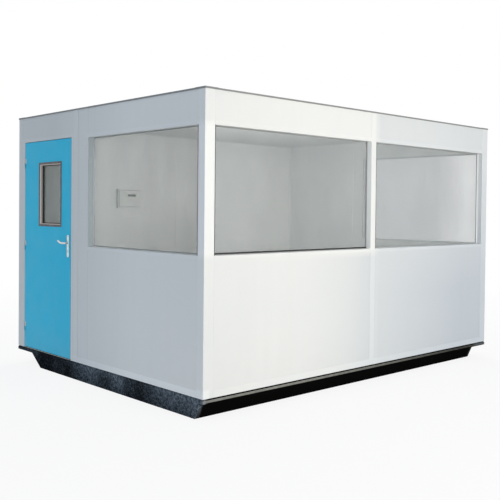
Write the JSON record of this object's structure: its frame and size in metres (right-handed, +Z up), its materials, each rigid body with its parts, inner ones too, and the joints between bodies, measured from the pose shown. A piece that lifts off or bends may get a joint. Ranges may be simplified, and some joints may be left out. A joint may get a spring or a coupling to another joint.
{
  "type": "security guard booth",
  "caption": "Prefabricated guard booth on a raked steel skid, with panelled white walls, deep-set windows on three sides and a hinged blue door with a vision panel and lever handle.",
  "frame": {"origin": "on the ground below the middle of the cabin's plan, on the underside of the middle runner", "axes": "+X along the front wall to the right as seen from outside, +Y from the front wall to the back wall, +Z up; the door is in the -X wall"},
  "size_m": [4.0585, 3.006, 2.508],
  "materials": {
    "skid_steel": "black paint, dusty",
    "floor_frame_steel": "dark grey paint",
    "floor_covering": "grey vinyl",
    "white_profile": "white powder coat",
    "wall_panel": "white coated steel skin",
    "window_glass": "clear",
    "bead_profile": "white powder coat",
    "roof_sheet": "light grey coated steel",
    "cap_sheet": "grey coated steel",
    "threshold_metal": "mill finish",
    "door_blue": "satin blue paint",
    "vision_frame": "bronze-grey anodised",
    "door_glass": "grey tint",
    "hinge_steel": "zinc plated",
    "handle_metal": "satin",
    "board_plastic": "white"
  },
  "bodies": {
    "cabin": {"left_runner": "skid_steel", "right_runner": "skid_steel", "inner_runners": "skid_steel", "skid_end_plates": "skid_steel", "floor_frame": "floor_frame_steel", "floor_deck": "floor_covering", "front_left_post": "white_profile", "front_right_post": "white_profile", "back_left_post": "white_profile", "back_right_post": "white_profile", "front_mullion": "white_profile", "back_mullion": "white_profile", "door_post": "white_profile", "right_wall_post": "white_profile", "front_rails": "white_profile", "left_rails": "white_profile", "right_rails": "white_profile", "back_rails": "white_profile", "front_lower_panels": "wall_panel", "front_upper_panels": "wall_panel", "left_lower_panel": "wall_panel", "left_upper_panels": "wall_panel", "door_side_panel": "wall_panel", "right_lower_panel": "wall_panel", "right_upper_panel": "wall_panel", "right_side_panels": "wall_panel", "back_panels": "wall_panel", "front_window_glass": "window_glass", "left_window_glass": "window_glass", "right_window_glass": "window_glass", "front_glazing_beads": "bead_profile", "end_glazing_beads": "bead_profile", "roof_panels": "roof_sheet", "roof_ledges": "white_profile", "roof_capping": "cap_sheet", "roof_corner_caps": "white_profile", "door_jambs": "white_profile", "door_head": "white_profile", "door_threshold": "threshold_metal", "hinge_pins": "hinge_steel", "distribution_board": "board_plastic"},
    "door": {"door_leaf": "door_blue", "door_vision_frame": "vision_frame", "door_vision_glass": "door_glass", "hinge_barrels": "hinge_steel", "handle_plates": "handle_metal"},
    "lever": {"door_lever": "handle_metal"}
  },
  "joints": [
    {"name": "door_hinge", "type": "hinge", "parent": "cabin", "child": "door", "pos_m": [-2.007, 1.3615, 1.203], "axis": [0, 0, -1], "range_deg": [0, 110]},
    {"name": "lever_turn", "type": "hinge", "parent": "door", "child": "lever", "pos_m": [-2, 0.489, 1.255], "axis": [-1, 0, 0], "range_deg": [0, 40], "stiffness_Nm_per_rad": 1.5, "springref_deg": -28.65}
  ]
}
